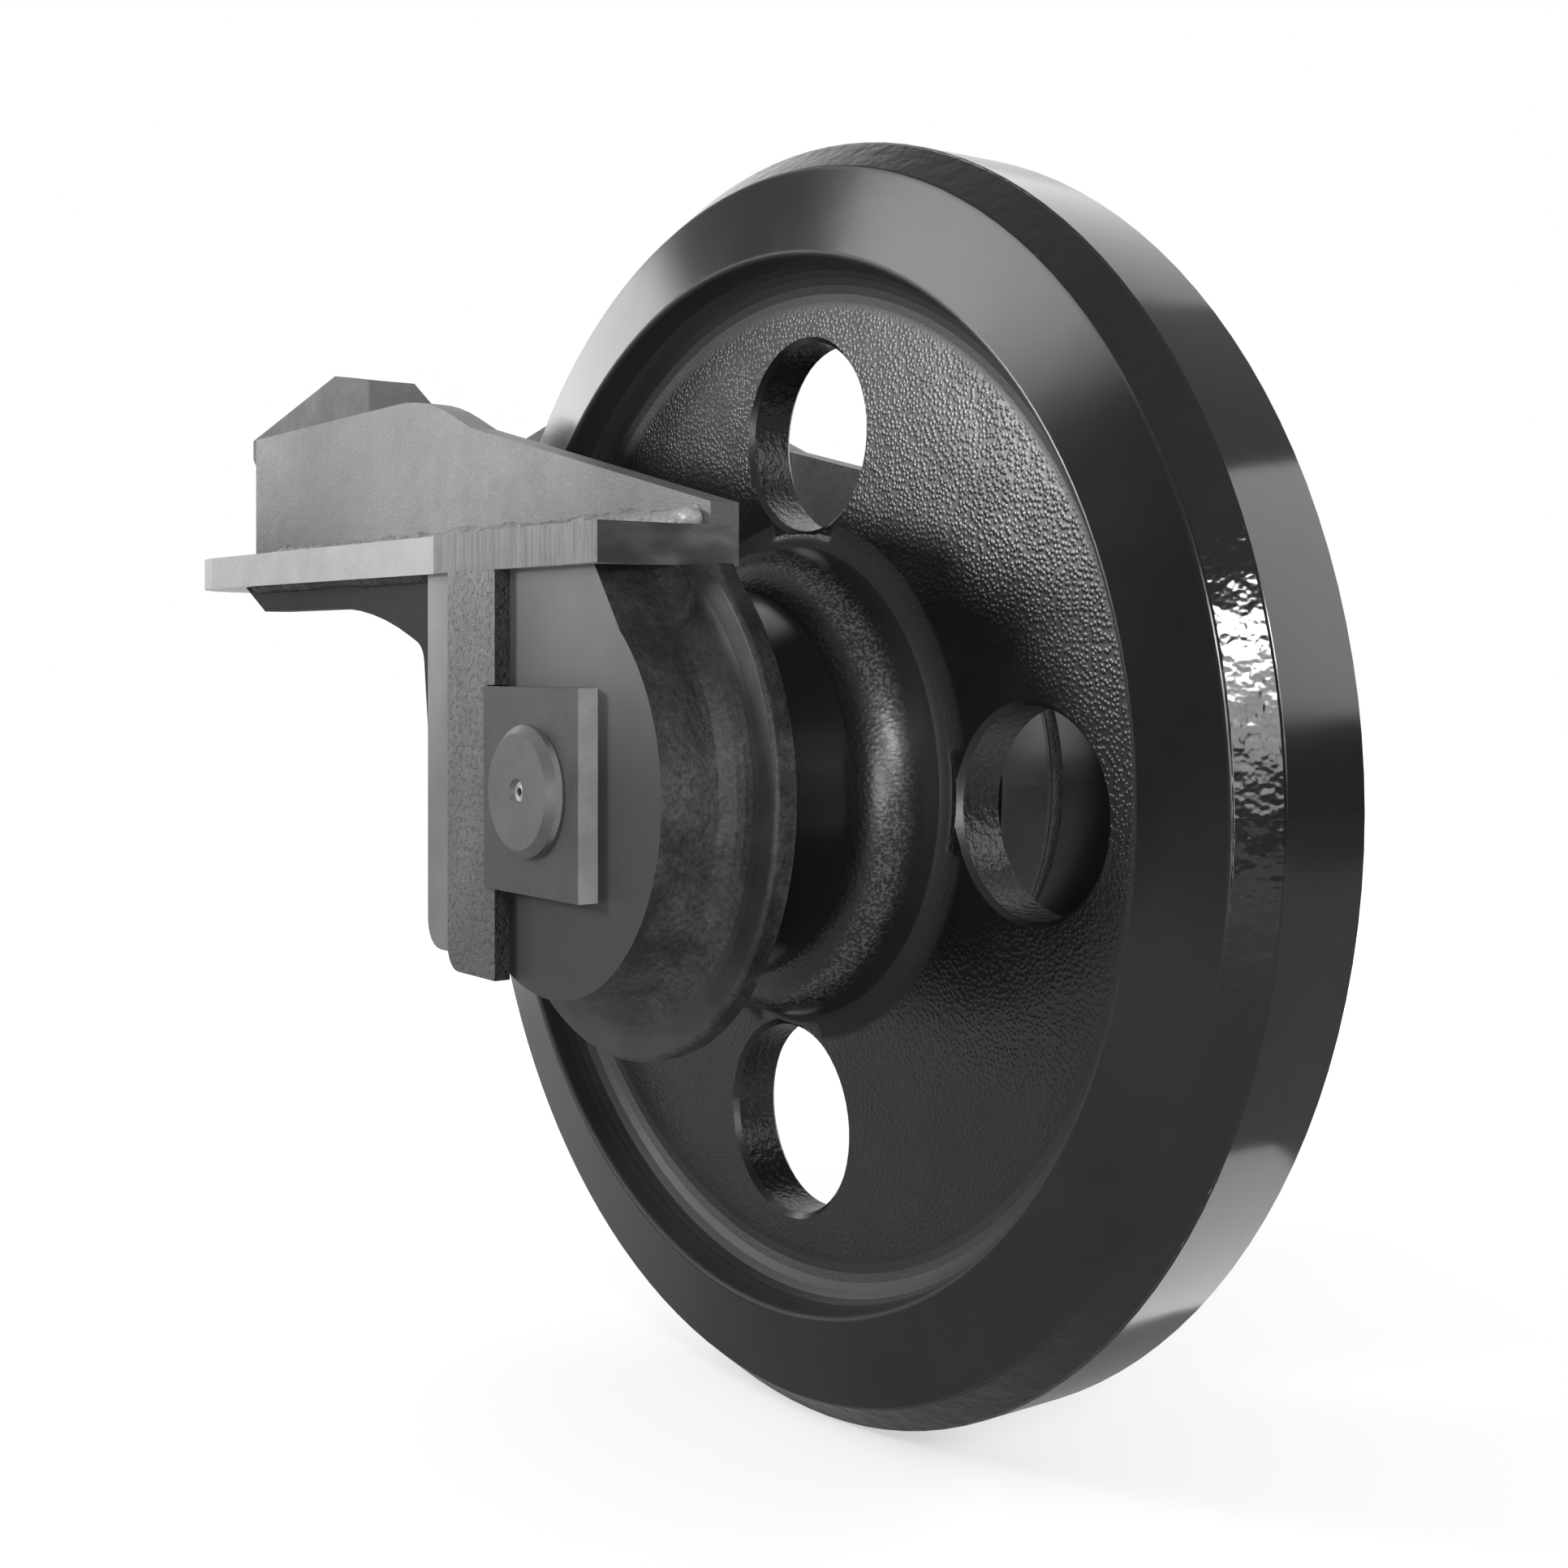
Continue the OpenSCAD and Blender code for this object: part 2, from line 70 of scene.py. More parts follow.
# Bracket sizes that the welds and paints follow
SLIDE_TOP = 0.194
SLIDE_UNDER = 0.164
SLIDE_FRONT = 0.086
SLIDE_REAR = -0.768
SLIDE_STEP = -0.170
RIB_IN = 0.156
RIB_OUT = 0.181
RIB_PEAK_Z = 0.3305
RIB_REAR_Z = 0.325
BLOCK_OUT = 0.266
BLOCK_REAR = -0.196
BAND_FRONT = -0.135
GUSSET_IN = 0.237
GUSSET_OUT = 0.262
GUSSET_TAIL = -0.591
GUSSET_TOE_Z = 0.050
LUG_FRONT = -0.545
LUG_FOOT_Z = 0.243

# Weld beads: rings along the bead, points across it, and the form of its ripples
BEAD_STEP = 0.0018
BEAD_SLICES = 9
BEAD_SUNK = 0.0005
BEAD_HOLLOW = 0.13
BEAD_ROOT = 0.2
END_START = 3
END_RINGS = 7
RIPPLE_L = 0.0065
RIPPLE_BOW = 0.45
RIPPLE_FLOOR = 0.91
RIPPLE_HEIGHT = 0.11


def camera():
    """Level camera at the photograph's viewpoint."""
    data = bpy.data.cameras.new("camera")
    data.sensor_width = SENSOR_MM
    data.lens = LENS_MM
    data.shift_x = SHIFT_X
    data.shift_y = SHIFT_Y
    data.clip_end = 50
    obj = bpy.data.objects.new("camera", data)
    obj.location = EYE
    obj.rotation_euler = Vector(LOOK).to_track_quat("-Z", "Y").to_euler()
    scene.collection.objects.link(obj)
    scene.camera = obj


class Graph:
    """Nodes of a material or world. Most methods add a node and return its output."""

    def __init__(self, tree):
        self.tree = tree
        self.tree.nodes.clear()

    def node(self, kind, inputs, out=0, **props):
        made = self.tree.nodes.new(kind)
        for key, value in props.items():
            setattr(made, key, value)
        for key, value in inputs.items():
            self.put(made.inputs[key], value)
        return made.outputs[out]

    def put(self, socket, value):
        if isinstance(value, bpy.types.NodeSocket):
            self.tree.links.new(value, socket)
        else:
            socket.default_value = value

    def end(self, kind, shader):
        """Adds the output node."""
        self.put(self.tree.nodes.new(kind).inputs["Surface"], shader)

    def place(self):
        """Coordinates in the part's frame, which turn with the body."""
        return self.node("ShaderNodeTexCoord", {}, out="Object")

    def facing(self, axis):
        """How far the surface faces along an axis."""
        return self.part(self.node("ShaderNodeNewGeometry", {}, out="Normal"), axis)

    def math(self, operation, a, b=0.0):
        return self.node("ShaderNodeMath", {0: a, 1: b}, operation=operation)

    def size(self, value):
        return self.math("ABSOLUTE", value)

    def add(self, *values):
        total = values[0]
        for value in values[1:]:
            total = self.math("ADD", total, value)
        return total

    def times(self, a, b):
        return self.math("MULTIPLY", a, b)

    def weighted(self, *pairs):
        """Sum of values, each times its weight."""
        return self.add(*(self.times(value, weight) for value, weight in pairs))

    def mix(self, share, a, b):
        return self.node("ShaderNodeMix", {"Factor": share, "A": a, "B": b})

    def blend(self, share, a, b):
        """Mix of two colours. Their sockets go by index, because the numbers' have the same names."""
        return self.node("ShaderNodeMix", {"Factor": share, 6: a, 7: b}, out=2, data_type="RGBA")

    def scaled(self, vector, factors):
        return self.node("ShaderNodeVectorMath", {0: vector, 1: factors}, operation="MULTIPLY")

    def length(self, vector):
        return self.node("ShaderNodeVectorMath", {0: vector}, out="Value", operation="LENGTH")

    def along(self, vector, direction):
        inputs = {0: vector, 1: direction}
        return self.node("ShaderNodeVectorMath", inputs, out="Value", operation="DOT_PRODUCT")

    def part(self, vector, axis):
        return self.node("ShaderNodeSeparateXYZ", {"Vector": vector}, out=axis)

    def radius(self, vector):
        """Distance from the shaft's axis."""
        return self.length(self.scaled(vector, (1, 0, 1)))

    def ramp(self, value, low, high, to_low=0.0, to_high=1.0):
        inputs = {"Value": value, "From Min": low, "From Max": high, "To Min": to_low, "To Max": to_high}
        return self.node("ShaderNodeMapRange", inputs, interpolation_type="SMOOTHSTEP")

    def by(self, mask, at_0, at_1):
        """at_0 where the mask is 0 and at_1 where it is 1."""
        return self.ramp(mask, 0.0, 1.0, at_0, at_1)

    def spread(self, noise, low, high, half=0.2):
        """Noise from low to high, over its values within half of its middle."""
        return self.ramp(noise, 0.5 - half, 0.5 + half, low, high)

    def band(self, value, low, high, soft):
        """1 between low and high, with edges that are soft wide."""
        up = self.ramp(value, low - soft, low + soft)
        down = self.ramp(value, high - soft, high + soft, 1.0, 0.0)
        return self.times(up, down)

    def noise(self, vector, scale, detail=2.0, rough=0.5, distortion=0.0):
        inputs = {"Vector": vector, "Scale": scale, "Detail": detail, "Roughness": rough}
        return self.node("ShaderNodeTexNoise", {**inputs, "Distortion": distortion})

    def domes(self, vector, scale):
        """Height of round grains on a flat ground, 1 on their tops, as seen along Y."""
        inputs = {"X": self.part(vector, "X"), "Y": self.part(vector, "Z")}
        flat = self.node("ShaderNodeCombineXYZ", inputs)
        inputs = {"Vector": flat, "Scale": scale, "Randomness": 1.0}
        near = self.node("ShaderNodeTexVoronoi", inputs, voronoi_dimensions="2D")
        return self.ramp(near, 0.02, 0.55, 1.0, 0.0)

    def bump(self, height, distance=1.0):
        """Normal of a height in metres, or of one that distance turns into metres."""
        return self.node("ShaderNodeBump", {"Strength": 1.0, "Distance": distance, "Height": height})


class Paint(Graph):
    """A material with one Principled shader."""

    def __init__(self, name):
        self.material = bpy.data.materials.new(name)
        self.material.use_nodes = True
        super().__init__(self.material.node_tree)
        self.shader = self.tree.nodes.new("ShaderNodeBsdfPrincipled")
        self.end("ShaderNodeOutputMaterial", self.shader.outputs[0])

    def set(self, **values):
        """Sets the shader's sockets; an underscore stands for a space."""
        for key, value in values.items():
            self.put(self.shader.inputs[key.replace("_", " ")], value)

    def grey(self, value):
        """A near-neutral grey with a trace of blue."""
        inputs = {"Red": value, "Green": value, "Blue": self.times(value, 1.03)}
        return self.node("ShaderNodeCombineColor", inputs)


def wheel_paint():
    """Gloss black over a pebbled casting, with a machined ring and tread, and a painted highlight on the
    collar's ridge.
    """
    g = Paint("wheel_paint")
    at = g.place()
    radius = g.radius(at)
    facing = g.size(g.facing("Y"))

    # Surfaces, by their radii
    cast = g.ramp(radius, RING_R - 0.008, RING_R - 0.002, 1.0, 0.0)
    bevel = g.band(radius, BEVEL_R + 0.001, TREAD_R - 0.001, 0.0006)
    tread = g.ramp(radius, TREAD_R - 0.0012, TREAD_R - 0.0004)
    ring = g.band(radius, RING_R + 0.004, BEVEL_R - 0.002, 0.001)
    lip = g.band(radius, RING_R - 0.005, RING_R + 0.002, 0.002)
    hollow = g.band(radius, RING_R - 0.036, RING_R - 0.006, 0.006)
    collar = g.band(radius, COLLAR_R - 0.034, COLLAR_R + 0.004, 0.002)
    ridge = g.band(radius, COLLAR_R - 0.013, COLLAR_R - 0.001, 0.004)
    wall = g.times(g.band(radius, *HOLES_R, 0.004), g.ramp(facing, 0.15, 0.35, 1.0, 0.0))

    # The collar's foot is dull, but not the chamfers of the holes that reach into it
    turn = g.math("ARCTAN2", g.part(at, "Z"), g.part(at, "X"))
    turn = g.times(g.math("SUBTRACT", turn, HOLE_TURN), HOLE_COUNT)
    chamfer = g.times(
        g.ramp(g.math("COSINE", turn), 0.66, 0.76), g.ramp(radius, COLLAR_R + 0.009, COLLAR_R + 0.013)
    )
    foot = g.band(radius, COLLAR_R + 0.004, COLLAR_R + 0.024, 0.004)
    foot = g.times(foot, g.math("SUBTRACT", 1.0, chamfer))

    # Pebbles lie on faces across the shaft, and thinner on the collar and in the hollow
    level = g.ramp(facing, 0.74, 0.92, 0.10, 1.0)
    sloping = g.times(collar, g.ramp(facing, 0.25, 0.50, 0.0, 0.6))
    across = g.times(g.math("MAXIMUM", level, sloping), g.ramp(facing, 0.10, 0.30))
    pebbled = g.times(g.times(cast, across), g.by(hollow, 1.0, 0.35))

    sweep = g.noise(at, 6, 3, 0.5)
    patch = g.noise(at, 24, 3, 0.55)
    peel = g.noise(at, 75, 2, 0.5)
    rough = g.noise(at, 170, 2, 0.6)
    fine = g.noise(at, 700, 1, 0.5)
    turned = g.noise(g.node("ShaderNodeCombineXYZ", {"X": radius}), 900, 1, 0.5)
    grain = g.add(g.times(g.domes(at, 235), g.spread(patch, 0.55, 1.0)), g.times(fine, 0.30))
    height = g.weighted(
        (g.times(grain, pebbled), 0.00024),
        (g.times(patch, pebbled), 0.0004),
        (g.times(peel, bevel), 0.0011),
        (turned, 0.00003),
        (sweep, 0.0006),
        (g.times(rough, wall), 0.0013),
    )
    # Paler speckle on the collar's ridge: a painted highlight
    painted_ridge_highlight = g.times(ridge, g.ramp(g.noise(at, 380, 2, 0.6), 0.42, 0.66, 0.0, 0.07))
    tone = g.add(g.spread(g.noise(at, 9, 4, 0.6), 0.004, 0.008), painted_ridge_highlight)
    change = g.weighted(
        (cast, 0.04), (bevel, -0.14), (tread, -0.11), (foot, 0.50), (collar, 0.02),
        (hollow, 0.22), (lip, 0.45), (ring, -0.07),
    )
    gloss = g.add(g.spread(sweep, 0.21, 0.28), change)
    g.set(Base_Color=g.grey(tone), Roughness=gloss, Normal=g.bump(height))
    return g.material


def block_paint():
    """Gloss black over a rough casting; its flat outer faces are plainer and paler, with painted light and
    shade.
    """
    g = Paint("block_paint")
    at = g.place()
    x, y, z = (g.part(at, axis) for axis in "XYZ")
    flat = g.ramp(g.size(g.facing("Y")), 0.93, 0.985)
    face = g.ramp(g.size(y), BLOCK_OUT - 0.012, BLOCK_OUT - 0.006)
    rear = g.ramp(x, BAND_FRONT - 0.005, BAND_FRONT + 0.005, 1.0, 0.0)
    inner = g.ramp(g.times(y, g.facing("Y")), -0.05, -0.01, 1.0, 0.0)
    smear = g.noise(at, 15, 5, 0.62, 0.6)
    lumps = g.noise(at, 55, 3, 0.6)
    sand = g.noise(at, 240, 3, 0.7)
    cloud = g.noise(at, 11, 3, 0.55)
    height = g.times(g.weighted((lumps, 0.0016), (sand, 0.0007)), g.by(flat, 1.0, 0.05))

    cast_tone = g.times(g.spread(smear, 0.006, 0.036, 0.16), g.spread(sand, 0.6, 1.6, 0.15))
    # Painted shade: the casting darker towards its top
    cast_tone = g.times(cast_tone, g.ramp(z, 0.0, 0.12, 1.0, 0.4))
    # Painted light: the outer face lighter towards its top and in its rear band
    face_tone = g.add(g.ramp(z, 0.0, 0.14, 0.014, 0.088), g.times(rear, 0.11))
    # Painted light: the flange's faces towards the wheel paler
    flange_tone = g.add(g.spread(smear, 0.012, 0.026, 0.16), g.times(inner, 0.08))
    flat_tone = g.times(g.mix(face, flange_tone, face_tone), g.spread(cloud, 0.85, 1.15))
    g.set(Base_Color=g.grey(g.mix(flat, cast_tone, flat_tone)), Normal=g.bump(height))
    g.set(Roughness=g.mix(flat, g.spread(smear, 0.50, 0.66), 0.50))
    return g.material


def plate_base(name, tones, gloss, grain=0.00018, lumps=0.0005, freckle=0.0):
    """Satin black over rolled plate: its clouds, its mottle and its fine grain."""
    g = Paint(name)
    at = g.place()
    cloud = g.noise(at, 6, 4, 0.6)
    mottle = g.noise(at, 42, 4, 0.6)
    sand = g.noise(at, 420, 2, 0.6)
    tone = g.spread(g.weighted((cloud, 0.50), (mottle, 0.35), (sand, 0.15)), *tones, 0.16)
    if freckle:
        spots = g.ramp(g.noise(at, 260, 2, 0.7), 0.50, 0.70, 1.0, 1.0 + freckle)
        tone = g.times(tone, spots)
    height = g.weighted((sand, grain), (mottle, lumps))
    g.set(Roughness=g.spread(mottle, gloss - 0.06, gloss + 0.06))
    return g, at, tone, height


def plate_paint(name, tones, gloss, front=1.0, shine=0.5, **detail):
    """Plate whose faces towards +X are paler by the factor front, as painted light."""
    g, _, tone, height = plate_base(name, tones, gloss, **detail)
    # Painted light: faces towards +X made paler by the factor front
    tone = g.times(tone, g.ramp(g.facing("X"), 0.6, 0.9, 1.0, front))
    g.set(Base_Color=g.grey(tone), Normal=g.bump(height), Specular_IOR_Level=shine)
    return g.material


def rib_paint():
    """Satin plate with painted light, paler in its middle, and painted shade, darker towards the rear foot.
    """
    g, at, tone, height = plate_base("rib_paint", (0.085, 0.135), 0.44, grain=0.00030, freckle=0.25)
    x = g.part(at, "X")
    # Painted light in the middle, painted shade at the rear foot
    middle = g.band(x, -0.50, -0.10, 0.16)
    foot = g.ramp(g.part(at, "Z"), SLIDE_TOP, SLIDE_TOP + 0.07, 1.0, 0.0)
    rear = g.ramp(x, -0.72, -0.52, 1.0, 0.0)
    shade = g.add(g.by(middle, 0.92, 1.50), g.times(g.times(foot, rear), -0.50))
    g.set(Base_Color=g.grey(g.times(tone, shade)), Normal=g.bump(height))
    return g.material


def slide_paint():
    """Flame-cut plate: drag lines down the front part's edge, a smooth pale rear part, a painted reflection
    on its nose.
    """
    g, at, tone, height = plate_base("slide_paint", (0.25, 0.34), 0.44)
    side = g.ramp(g.size(g.facing("Y")), 0.75, 0.9)
    nose = g.ramp(g.facing("X"), 0.75, 0.9)
    front = g.ramp(g.part(at, "X"), SLIDE_STEP - 0.004, SLIDE_STEP + 0.004)
    cut = g.times(side, front)
    lines = g.noise(g.scaled(at, (1.0, 1.0, 0.035)), 360, 3, 0.6)
    smear = g.noise(g.scaled(at, (1, 1, 2.5)), 17, 3, 0.5)
    # Painted reflection: the nose lighter towards its inner side
    inner = g.ramp(g.size(g.part(at, "Y")), 0.15, 0.26, 1.6, 0.8)
    height = g.add(height, g.times(g.times(lines, cut), 0.0016))
    cut_tone = g.spread(lines, 0.085, 0.150, 0.16)
    nose_tone = g.times(g.spread(smear, 0.035, 0.085, 0.15), inner)
    tone = g.mix(nose, g.mix(cut, tone, cut_tone), nose_tone)
    g.set(Base_Color=g.grey(tone), Normal=g.bump(height))
    return g.material


def bar_paint():
    """Rough, pitted bar, darker towards its foot, with its front edge painted dark as painted shade."""
    g, at, tone, height = plate_base("bar_paint", (0.055, 0.105), 0.50, freckle=0.5)
    pits = g.ramp(g.noise(at, 190, 3, 0.65), 0.36, 0.52)
    edge = g.ramp(g.facing("X"), 0.8, 0.95)
    height = g.add(height, g.times(pits, 0.0007))
    tone = g.times(tone, g.by(pits, 0.55, 1.0))
    tone = g.times(tone, g.ramp(g.part(at, "Z"), -0.12, 0.16, 0.72, 1.45))
    # Painted shade: the side towards +X darkened
    tone = g.times(tone, g.by(edge, 1.0, 0.16))
    g.set(Base_Color=g.grey(tone), Normal=g.bump(height))
    return g.material


def plain_metal(name, colour, gloss, marks):
    """Bare inner pieces: turning marks and a little tarnish."""
    g = Paint(name)
    at = g.place()
    turned = g.math("SINE", g.times(g.radius(at), marks))
    tarnish = g.noise(at, 40, 4, 0.6)
    dark = [0.75 * c for c in colour]
    base = g.blend(tarnish, [*dark, 1], [*colour, 1])
    g.set(Base_Color=base, Normal=g.bump(turned, 0.00004), Metallic=1.0)
    g.set(Roughness=g.spread(tarnish, gloss - 0.05, gloss + 0.08))
    return g.material


def rubber():
    """Matt black with a grey bloom."""
    g = Paint("seal_rubber")
    bloom = g.noise(g.place(), 120, 4, 0.6)
    g.set(Base_Color=g.grey(g.spread(bloom, 0.018, 0.035)))
    g.set(Roughness=g.spread(bloom, 0.6, 0.8), Normal=g.bump(bloom, 0.0002))
    return g.material


def smooth(obj, degrees):
    """Smooth shading, with edges over an angle kept sharp."""
    obj.data.shade_smooth()
    obj.data.set_sharp_from_angle(angle=math.radians(degrees))


def broken_edges(obj, width):
    """Narrow rounding of the sharp edges, as grinding and paint leave them."""
    bevel = obj.modifiers.new("edges", "BEVEL")
    bevel.width = width
    bevel.segments = 2
    bevel.limit_method = "ANGLE"
    bevel.angle_limit = math.radians(35)
    bevel.harden_normals = True


def dress_nodes(wheel):
    """Materials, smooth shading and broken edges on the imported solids."""
    bronze = plain_metal("bushing_bronze", (0.60, 0.44, 0.22), 0.32, 9000)
    iron = plain_metal("seal_iron", (0.40, 0.40, 0.41), 0.25, 14000)
    plug = plain_metal("plug_steel", (0.55, 0.55, 0.56), 0.30, 6000)
    seal = rubber()
    # The factor front paints the shaft's faces towards +X paler: painted light
    shaft = plate_paint("shaft_paint", (0.060, 0.085), 0.36, front=2.4, grain=0.00008)

    # Material and width of the broken edges
    looks = {
        "idler_wheel": (wheel, 0.0015),
        "shaft": (shaft, 0.0012),
        "bushing": (bronze, 0.0003),
        "turning_seal": (iron, 0.0003),
        "fixed_seal": (iron, 0.0003),
        "turning_toric": (seal, 0),
        "fixed_toric": (seal, 0),
        "shaft_o_ring": (seal, 0),
        "oil_plug": (plug, 0.0004),
        "bearing_block": (block_paint(), 0.0025),
        # Keeper plate and rear lug: faces towards +X paler by the factor front, as painted light
        "keeper_plate": (plate_paint("keeper_paint", (0.024, 0.036), 0.46, front=7.0), 0.0018),
        "guide_bar": (bar_paint(), 0.0012),
        "slide_plate": (slide_paint(), 0.0045),
        "rib": (rib_paint(), 0.0020),
        # Gusset: darker tones as painted shade under the slide plate, and dirt
        "gusset": (plate_paint("gusset_paint", (0.010, 0.024), 0.62, shine=0.1), 0.0012),
        "rear_lug": (plate_paint("lug_paint", (0.028, 0.046), 0.50, front=4.0), 0.0014),
    }
    for name, obj in frame["nodes"].items():
        material, edge = looks[name.removesuffix("_right").removesuffix("_left")]
        obj.data.materials.clear()
        obj.data.materials.append(material)
        smooth(obj, 30)
        if edge:
            broken_edges(obj, edge)


def piece(name, mesh, material, body="bracket"):
    """Makes a piece from a bmesh."""
    bmesh.ops.recalc_face_normals(mesh, faces=mesh.faces)
    data = bpy.data.meshes.new(name)
    mesh.to_mesh(data)
    mesh.free()
    obj = bpy.data.objects.new(name, data)
    data.materials.append(material)
    scene.collection.objects.link(obj)
    smooth(obj, 60)
    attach(obj, body)


def bridge(mesh, a, b):
    """Faces between two closed rings of vertices."""
    count = len(a)
    for k in range(count):
        mesh.faces.new((a[k], a[(k + 1) % count], b[(k + 1) % count], b[k]))


def collar_skins(material):
    """Broad cast rounding from the hub's neck over its collar, on both sides of the web.

    Each is turned from a curve of radius and station that starts and ends inside the wheel.
    """
    turns, points, inside_r = 180, 25, 0.148
    start = (0.1498, 0.102)
    curves = {"right": ((0.182, 0.090), (0.186, 0.047)), "left": ((0.186, 0.092), (0.1815, 0.036))}
    for side, s in SIDES.items():
        middle, end = curves[side]
        profile = []
        for i in range(points):
            t = i / (points - 1)
            weights = ((1 - t) ** 2, 2 * t * (1 - t), t ** 2)
            corners = tuple(zip(weights, (start, middle, end)))
            profile.append([sum(w * p[k] for w, p in corners) for k in (0, 1)])
        profile += [(inside_r, end[1]), (inside_r, start[1])]
        mesh = bmesh.new()
        rings = []
        for i in range(turns):
            a = 2 * math.pi * i / turns
            rings.append([mesh.verts.new((r * math.cos(a), s * y, r * math.sin(a))) for r, y in profile])
        for a, b in zip(rings, rings[1:] + rings[:1]):
            bridge(mesh, a, b)
        piece(f"collar_skin_{side}", mesh, material, "wheel")


def spaced(path, step):
    """Points along a line of corners, about a step apart."""
    points = []
    for a, b in zip(path, path[1:]):
        a, b = Vector(a), Vector(b)
        count = max(2, round((b - a).length / step))
        points += [a.lerp(b, i / count) for i in range(count)]
    return points + [Vector(path[-1])]


def weld(name, path, out, up, leg, material, swell=0.0, rough=0.035):
    """Fillet bead along path with its legs along out and up: crescent ripples, uneven size.

    The bead grows by the share swell towards the end of the path, and is uneven by the share rough.
    """
    points = spaced(path, BEAD_STEP)
    out, up = Vector(out), Vector(up)
    mesh = bmesh.new()
    rings = []
    phase, size = 0.0, 1.0
    last = len(points) - 1
    for i, point in enumerate(points):
        phase += BEAD_STEP / RIPPLE_L * random.uniform(0.75, 1.25)
        size = min(max(size + random.uniform(-0.05, 0.05), 0.84), 1.18)
        end = min(1.0, (min(i, last - i) + END_START) / END_RINGS)
        reach = leg * size * end * (1 + swell * i / last)
        root = point - BEAD_SUNK * (out + up)
        ring = []
        for k in range(BEAD_SLICES):
            share = k / (BEAD_SLICES - 1)
            angle = math.pi / 2 * share
            crescent = abs(math.sin(math.pi * (phase - RIPPLE_BOW * math.sin(math.pi * share))))
            form = 1 - BEAD_HOLLOW * math.sin(2 * angle)
            form *= RIPPLE_FLOOR + RIPPLE_HEIGHT * crescent + random.uniform(-rough, rough)
            ring.append(mesh.verts.new(root + reach * form * (math.cos(angle) * out + math.sin(angle) * up)))
        ring.append(mesh.verts.new(root - BEAD_ROOT * leg * end * (out + up)))
        rings.append(ring)
    for a, b in zip(rings, rings[1:]):
        bridge(mesh, a, b)
    mesh.faces.new(rings[0])
    mesh.faces.new(reversed(rings[-1]))
    piece(name, mesh, material)


def blob(name, centre, radii, material):
    """Uneven end of a bead."""
    mesh = bmesh.new()
    bmesh.ops.create_icosphere(mesh, subdivisions=3, radius=1)
    for vert in mesh.verts:
        form = random.uniform(0.95, 1.05)
        vert.co = Vector(centre) + form * Vector(c * r for c, r in zip(vert.co, radii))
    piece(name, mesh, material)


def welds():
    """Beads that join each rib, gusset and lug to its bracket."""
    bead = plate_paint("weld_paint", (0.160, 0.300), 0.34, grain=0.00035, freckle=0.4)
    shaded = plate_paint("shaded_weld_paint", (0.010, 0.025), 0.50, shine=0.2)
    up, down, front, back = (0, 0, 1), (0, 0, -1), (1, 0, 0), (-1, 0, 0)
    gusset_rear, gusset_front = GUSSET_TAIL + 0.02, BLOCK_REAR - 0.002
    for side, s in SIDES.items():
        out, inward = (0, s, 0), (0, -s, 0)
        rib_y, lug_y = s * RIB_OUT, s * RIB_IN
        outer_y, inner_y = s * GUSSET_OUT, s * GUSSET_IN
        weld(
            f"weld_rib_{side}",
            [(SLIDE_REAR + 0.05, rib_y, SLIDE_TOP), (-0.07, rib_y, SLIDE_TOP)],
            out, up, 0.0160, bead, rough=0.09,
        )
        weld(
            f"weld_rib_front_{side}",
            [(-0.085, rib_y, SLIDE_TOP), (SLIDE_FRONT - 0.010, rib_y, SLIDE_TOP)],
            out, up, 0.0150, bead, swell=0.25, rough=0.06,
        )
        blob(
            f"weld_rib_end_{side}",
            (SLIDE_FRONT - 0.018, s * (RIB_OUT + 0.006), SLIDE_TOP + 0.005),
            (0.013, 0.008, 0.008), bead,
        )
        weld(
            f"weld_gusset_out_{side}",
            [(gusset_rear, outer_y, SLIDE_UNDER), (gusset_front, outer_y, SLIDE_UNDER)],
            out, down, 0.0065, shaded,
        )
        weld(
            f"weld_gusset_in_{side}",
            [(gusset_rear, inner_y, SLIDE_UNDER), (gusset_front, inner_y, SLIDE_UNDER)],
            inward, down, 0.0080, shaded,
        )
        weld(
            f"weld_gusset_block_{side}",
            [(BLOCK_REAR, inner_y, SLIDE_UNDER - 0.006), (BLOCK_REAR, inner_y, GUSSET_TOE_Z)],
            inward, back, 0.0070, shaded,
        )
        weld(
            f"weld_lug_{side}",
            [(LUG_FRONT - 0.004, lug_y, RIB_PEAK_Z - 0.0017), (SLIDE_REAR + 0.004, lug_y, RIB_REAR_Z)],
            out, up, 0.0060, bead,
        )
        weld(
            f"weld_lug_front_{side}",
            [(LUG_FRONT, lug_y, RIB_PEAK_Z - 0.012), (LUG_FRONT, lug_y, LUG_FOOT_Z)],
            inward, front, 0.0070, bead,
        )


def lamp(name, place, size, radiance, shines=None):
    """Soft rectangular lamp of a given brightness, aimed at the part or in the direction shines."""
    data = bpy.data.lights.new(name, "AREA")
    data.shape = "RECTANGLE"
    data.size, data.size_y = size
    data.energy = radiance * math.pi * size[0] * size[1]
    obj = bpy.data.objects.new(name, data)
    obj.location = place
    direction = Vector(shines) if shines else -Vector(place)
    obj.rotation_euler = direction.to_track_quat("-Z", "Y").to_euler()
    obj.visible_camera = False
    scene.collection.objects.link(obj)


def aim(point, azimuth, elevation, distance):
    """Place at a distance from point in a direction given in degrees."""
    a, e = math.radians(azimuth), math.radians(elevation)
    flat = math.cos(e)
    return Vector(point) + distance * Vector((flat * math.cos(a), flat * math.sin(a), math.sin(e)))


